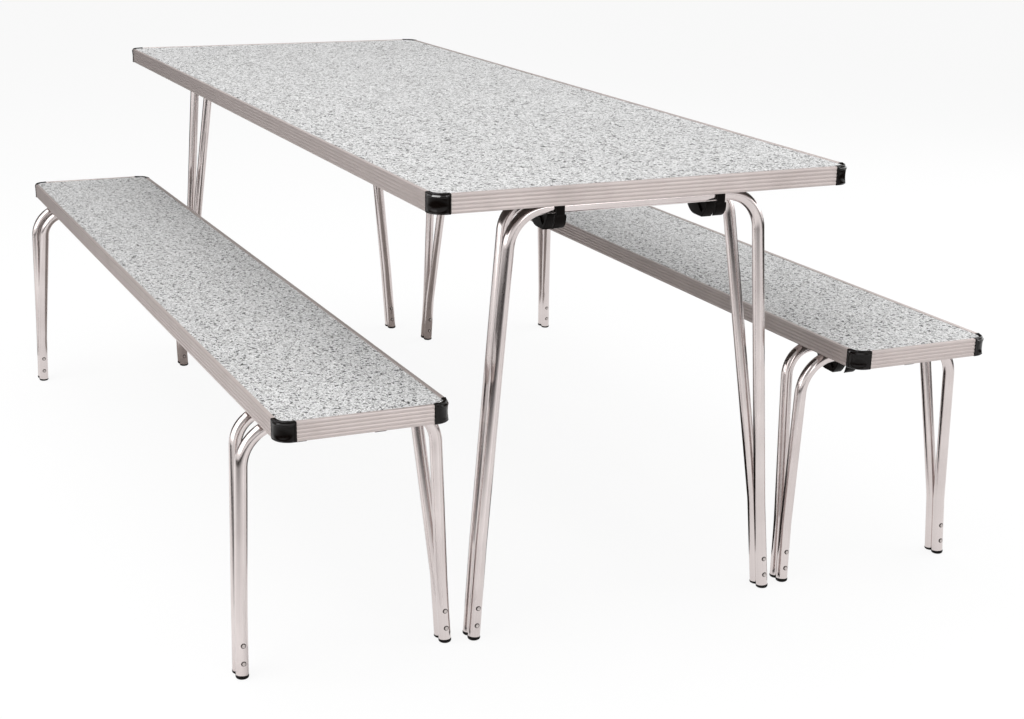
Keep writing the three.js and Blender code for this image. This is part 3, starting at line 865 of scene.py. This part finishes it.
def filled(*loops):
    """A flat face inside the first loop and outside the others."""
    corners = [[Vector(point) for point in loop] for loop in loops]
    return np.concatenate(loops), tessellate_polygon(corners)


def plate_parts(thick, loops, panel=None):
    """A plate with eased edges: every loop's walls are rows across the thickness, and the first and
    last few step inwards by ease * (1 - cos) of a quarter turn. Its two sides are filled, round a
    sunk panel if there is one."""
    turn = np.linspace(0, QUARTER, PLATE_EASE_STEPS)
    y = thick / 2 - PLATE_EASE * (1 - np.sin(turn))
    ease = PLATE_EASE * (1 - np.cos(turn))
    y, ease = np.concatenate([-y[::-1], y]), np.concatenate([ease[::-1], ease])
    grids = [layered(inset(loop, ease), y) for loop in loops]
    parts = [walls(grid) for grid in grids]
    for row, side in ((0, -1), (-1, 1)):
        flat = [grid[row] for grid in grids]
        if panel is not None:
            depth = side * (thick / 2 - np.array([0, PANEL_DEPTH]))
            sunk = layered(inset(panel, [0, PANEL_DRAFT]), depth)
            parts += [walls(sunk), filled(sunk[1])]
            flat.append(sunk[0])
        parts.append(filled(*flat))
    return parts


strap = plate_parts(STRAP_THICK, [strap_outline()])
print("the strap's plate has", sum(len(faces) for _, faces in strap), "faces")

# %% [markdown]
# ## Clip blocks in place
# The nose has the bore through it and a panel sunk in each side, which saves nylon and keeps the
# moulding from sinking as it cools. The three plates of a block overlap inside it, where nobody
# sees them.

# %% Clip blocks
CLIP_THICK, CLIP_SHARP, BORE_SIDES = 17.5, 40, 36
PANEL_RIM, PANEL_SWEEP = 5, 0.9 * CLIP_NOSE_SWEEP
PANEL_FRONT_TOP, PANEL_BACK_TOP = 0.1, 0.3  # radians above the level of the pivot


def panel_outline():
    """The sunk panel in the side of the nose, between the rim of the bore and that of the front."""
    front, back = NOSE_REACH - PANEL_RIM, BAR_ROOM + PANEL_RIM
    return np.concatenate([arc_line(0, 0, front, -PANEL_SWEEP, PANEL_FRONT_TOP),
                           arc_line(0, 0, back, PANEL_BACK_TOP, -PANEL_SWEEP)])


def clip_parts():
    bore = arc_line(0, 0, BAR_ROOM, 2 * math.pi, 0, BORE_SIDES)[1:]
    return (plate_parts(CLIP_THICK, [nose_outline(), bore], panel_outline())
            + strap + plate_parts(CLIP_THICK, [jaw_outline()]))


def make_clip(item, end, side):
    node = f"{item}_{end}_{side}_clip"
    low, high = node_box(node)
    x = low[0] + CLIP_BACK if end == "near" else high[0] - CLIP_BACK
    place = (x, (low[1] + high[1]) / 2, high[2] - CLIP_TOP)
    parts = [(placed(points, END_TURNS[end], place), faces) for points, faces in clip_parts()]
    piece = make_piece(f"{node}_block", parts, satin_nylon, sharp=CLIP_SHARP)
    return stand_for(piece, item, "moulding", node)


report("clip blocks", [make_clip(*place) for place in LEG_PLACES])

# %% [markdown]
# ## Rivet metal
# The finish goes dark towards the rim of each head: painted shade for the dark line where the head
# meets the tube. It reads the distance from the head's axis, which each point of a rivet carries in
# its run.

# %% Rivet metal
RIVET_RADIUS = 4.0
RUB_SIZE, RIVET_SMOOTH, RIVET_ROUGH = 1.5, 0.22, 0.4
RIM_SHADE_START, RIM_SHADE_FULL = 0.5, 0.85  # shares of the radius where the painted rim shade begins and is full

rivet_metal, tree, shader = new_finish("rivet_aluminium", Metallic=1.0)
rub = noise(object_place(tree), RUB_SIZE, 3)
# painted shade: the colour goes dark towards the rim of each head, where it meets the tube
rim_shade = ramp(along_axis(run_place(tree), "X"), RIM_SHADE_START * RIVET_RADIUS * MM,
             RIM_SHADE_FULL * RIVET_RADIUS * MM, kind="SMOOTHSTEP")
dress(shader, mix(rim_shade, mix(rub, "#D2CAC7", "#A8A09D"), "#3A3432"),
      ramp(rub, low=RIVET_SMOOTH, high=RIVET_ROUGH))
print("finish:", rivet_metal.name)

# %% [markdown]
# ## Rivets
# Two rivets above each foot hold the outer and the inner tube together. Each shows a low round head
# on the front of the outer tube and on the back of the inner one, flat on top with a dimple where
# its pin was pulled. A head is a profile turned round its axis.

# %% Rivets
RIVET_HEIGHTS, RIVET_RISE, RIVET_SINK, RIVET_SIDES = (25, 53), 1.4, 1.2, 20
RIVET_DIMPLE, DIMPLE_SHARE = 0.5, 1 / 3
RIVET_RINGS, INNERMOST_SHARE = 12, 0.02


def rivet_part(base, axis):
    """A head turned about its axis, from below the tube's skin. At a share r of its radius its
    height is rise * (1 - r^5) - dimple * (1 - (r / s)^2), the second only within the dimple's share
    s. Also gives each point's distance from the axis."""
    share = np.concatenate([[1.0], np.linspace(1, INNERMOST_SHARE, RIVET_RINGS)])
    dimple = RIVET_DIMPLE * np.clip(1 - (share / DIMPLE_SHARE) ** 2, 0, 1)
    rise = RIVET_RISE * (1 - share ** 5) - dimple
    rise[0] = -RIVET_SINK
    radius = RIVET_RADIUS * share
    side = unit(np.cross(axis, [0, 0, 1.0]))
    lift = np.cross(side, axis)
    cos, sin = circle(RIVET_SIDES)
    ring = cos[:, None] * side + sin[:, None] * lift
    points = base + rise[:, None, None] * axis + radius[:, None, None] * ring
    run = np.zeros_like(points)
    run[..., 0] = radius[:, None]
    return points.reshape(-1, 3), closed_faces(len(radius), RIVET_SIDES), run.reshape(-1, 3)


def make_rivets(item, end, side):
    parts, runs = [], []
    for bow, facing in (("outer", 1), ("inner", -1)):
        foot, rise, _ = leg_foot(item, end, side, bow)
        axis = facing * square_to(rise)[1]
        for height in RIVET_HEIGHTS:
            base = foot + rise * height / rise[2] + axis * TUBE_RADIUS
            points, faces, run = rivet_part(base, axis)
            parts.append((at_end(points, item, end), faces))
            runs.append(run)
    piece = make_piece(f"{item}_{end}_{side}_rivets", parts, rivet_metal, runs)
    return stand_for(piece, f"{item}_{end}_legs", "tube")


report("rivets", [make_rivets(*place) for place in LEG_PLACES])

# %% [markdown]
# ## Lamps
# A broad lamp overhead lights the boards, one ahead lights the near ends, and a wide lamp on each
# side lights the benches, which the table keeps in half shade. A narrow strip lamp follows the row
# of places that the curved ledge of a corner cap mirrors. It shows in reflections only, and draws
# the thin highlight there.

# %% Lamps
LAMPS = {  # place, aim, width and height in metres, and watts
    "top_lamp": ((-0.7, -0.7, 3.4), (-0.7, -0.7, 0.0), 4.4, 3.4, 58),
    "strip_lamp": ((-0.35, -1.35, 4.3), (-0.82, -0.47, 0.4), 2.4, 0.6, 88),
    "front_lamp": ((4.6, 1.0, 2.0), (0.9, 0.0, 0.6), 2.4, 1.8, 32),
    "left_lamp": ((0.8, -3.0, 2.2), (0.4, -0.45, 0.4), 3.8, 3.4, 80),
    "right_lamp": ((0.2, 3.0, 2.2), (0.0, 0.45, 0.4), 4.8, 3.4, 84),
}


def soft_lamp(name, place, aim, width, height, watts):
    """A rectangular lamp at a place that faces another place."""
    lamp = bpy.data.objects.new(name, bpy.data.lights.new(name, "AREA"))
    lamp.data.shape, lamp.data.size, lamp.data.size_y = "RECTANGLE", width, height
    lamp.data.energy = watts
    lamp.location = place
    lamp.rotation_euler = (Vector(aim) - lamp.location).to_track_quat("-Z", "Y").to_euler()
    lamp.visible_camera = False
    bpy.context.scene.collection.objects.link(lamp)
    return lamp


lamps = {name: soft_lamp(name, *values) for name, values in LAMPS.items()}
lamps["strip_lamp"].visible_diffuse = False
print("lamps of", [lamp.data.energy for lamp in lamps.values()], "W")

# %% [markdown]
# ## Room
# The set stands in an even pale room. To the camera and in reflections, the foot of the walls is
# brighter than the light it gives, so the background is white and the metal has a pale horizon to
# mirror. Higher up, the walls fade to the level of the room's light.

# %% Room
ROOM_LIGHT = 0.45
WHITE = (1, 1, 1, 1)
FADE_LOW, FADE_HIGH = 0.15, 0.45  # heights on the sphere of directions, from 0 level to 1 upright


def seen_rays(tree):
    """1 for the rays that look at the background, straight or in a reflection, and 0 for light."""
    ray = add_node(tree, "ShaderNodeLightPath").outputs
    seen = ray["Is Camera Ray"]
    for other in ("Is Glossy Ray", "Is Transmission Ray"):
        seen = maths("MAXIMUM", seen, ray[other])
    return seen


world = bpy.context.scene.world or bpy.data.worlds.new("pale_room")
bpy.context.scene.world = world
world.use_nodes = True
tree = world.node_tree
direction = add_node(tree, "ShaderNodeTexCoord").outputs["Generated"]
backdrop = ramp(along_axis(direction, "Z"), FADE_LOW, FADE_HIGH, 1, ROOM_LIGHT, "SMOOTHSTEP")
level = ramp(seen_rays(tree), low=ROOM_LIGHT, high=backdrop)
background = tree.nodes["Background"]
background.inputs["Color"].default_value = WHITE
tree.links.new(level, background.inputs["Strength"])
print("room light", ROOM_LIGHT)

# %% [markdown]
# ## Floor
# The floor is white paper. To the camera and in reflections, most of it is a plain glow, so it runs
# into the white background. The rest is lit paper, so that the shadows under the set still show.

# %% Floor
FLOOR_HALF = 30
PAPER_COLOUR = "#F6F6F6"
GLOW_SHARE = 0.9


def flat_panel(name, corners, material):
    """A flat stage panel through the given corners, in metres."""
    mesh = bpy.data.meshes.new(name)
    mesh.from_pydata(corners, [], [list(range(len(corners)))])
    mesh.materials.append(material)
    panel = bpy.data.objects.new(name, mesh)
    bpy.context.scene.collection.objects.link(panel)
    panel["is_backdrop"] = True
    return panel


paper = bpy.data.materials.new("white_paper_floor")
paper.use_nodes = True
tree = paper.node_tree
tree.nodes.clear()
share = maths("MULTIPLY", seen_rays(tree), GLOW_SHARE)
lit = add_node(tree, "ShaderNodeBsdfDiffuse", {"Color": linear(PAPER_COLOUR)}).outputs[0]
glow = add_node(tree, "ShaderNodeEmission", {"Color": WHITE, "Strength": 1.0}).outputs[0]
mixed = add_node(tree, "ShaderNodeMixShader", {0: share, 1: lit, 2: glow}).outputs[0]
add_node(tree, "ShaderNodeOutputMaterial", {"Surface": mixed})
flat_panel("floor", [(x * FLOOR_HALF, y * FLOOR_HALF, 0)
                     for x, y in ((-1, -1), (1, -1), (1, 1), (-1, 1))], paper)
print("floor of", 2 * FLOOR_HALF, "m by", 2 * FLOOR_HALF, "m")

# %% [markdown]
# ## Cards
# Bare metal and gloss black only look right when they have something dark to mirror, so a
# photographer sets dark cards round the set. Upright tubes seen from above mirror the floor round
# them, and the level lips mirror what stands behind, so most of the cards lie on the floor and one
# stands at the back. The cards show in reflections only.

# %% Cards
CARD_LIFT = 0.003
DARK_FELT = "#2A2726"
FLOOR_CARDS = {  # colour, and corners on the floor in metres
    # painted shade: the two under-table cards put the table's shadow on the floor into the
    # reflections
    "far_under_shade_card": ("#BDB7B3", [(-0.9, -0.45), (0.1, -0.45), (0.1, 0.45), (-0.9, 0.45)]),
    "near_under_shade_card": ("#2E2927", [(0.1, -0.3), (0.72, -0.3), (0.72, 0.3), (0.1, 0.3)]),
    "gap_card": ("#4A4543", [(-2.6, -0.8), (-0.95, -0.8), (-0.95, -0.45), (-2.6, -0.45)]),
    "front_card": (DARK_FELT, [(-2.66, -3.12), (4.54, 2.28), (8.2, -2.6), (1.0, -8.0)]),
    "right_card": ("#3A3635", [(1.5, 2.4), (7.0, 3.5), (7.0, 7.0), (-3.0, 7.0), (-2.0, 2.4)]),
    "left_card": ("#1C1715", [(-1.7, -0.8), (-9.0, -0.8), (-9.0, -4.0), (-3.4, -3.0)]),
}
BACK_CARD = [(-4.5, -5.0, 0), (-4.0, 5.0, 0), (-4.0, 5.0, 3.5), (-4.5, -5.0, 3.5)]


def card(name, colour, corners):
    """A dull card that is seen in reflections only."""
    felt, _, shader = new_finish(f"{name}_felt", Roughness=1.0, Specular_IOR_Level=0.0)
    shader.inputs["Base Color"].default_value = linear(colour)
    panel = flat_panel(name, corners, felt)
    panel.visible_camera = panel.visible_diffuse = panel.visible_shadow = False
    return panel


cards = {name: card(name, colour, [(x, y, CARD_LIFT) for x, y in corners])
         for name, (colour, corners) in FLOOR_CARDS.items()}
cards["back_card"] = card("back_card", "#3A3635", BACK_CARD)
print(len(cards), "cards")

# %% [markdown]
# ## The front card's fade
# An edge of the front card would show as a hard line across the tubes that mirror it. So the card
# starts in the colour of the floor and goes dark gradually towards the front left.

# %% Front card
FADE_AHEAD, FADE_START, FADE_END = (0.6, -0.8, 0.0), 0.9, 2.8

felt = cards["front_card"].data.materials[0]
tree = felt.node_tree
ahead = add_node(tree, "ShaderNodeVectorMath", {0: object_place(tree), 1: FADE_AHEAD},
                 operation="DOT_PRODUCT")
share = ramp(ahead.outputs["Value"], FADE_START, FADE_END, kind="SMOOTHSTEP")
base = tree.nodes["Principled BSDF"].inputs["Base Color"]
tree.links.new(mix(share, PAPER_COLOUR, DARK_FELT), base)
print("the front card fades from", FADE_START, "to", FADE_END, "m ahead of the middle")

# %% [markdown]
# ## Size
# The finished set should fill the same box as the solids, so how far each face of its box has moved
# from that of the solids is printed, in millimetres.

# %% Size
low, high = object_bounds()
grown = [round((visual - cad) / MM, 2) for visual, cad in zip((*low, *high), (*cad_low, *cad_high))]
print("grown in mm:", grown)
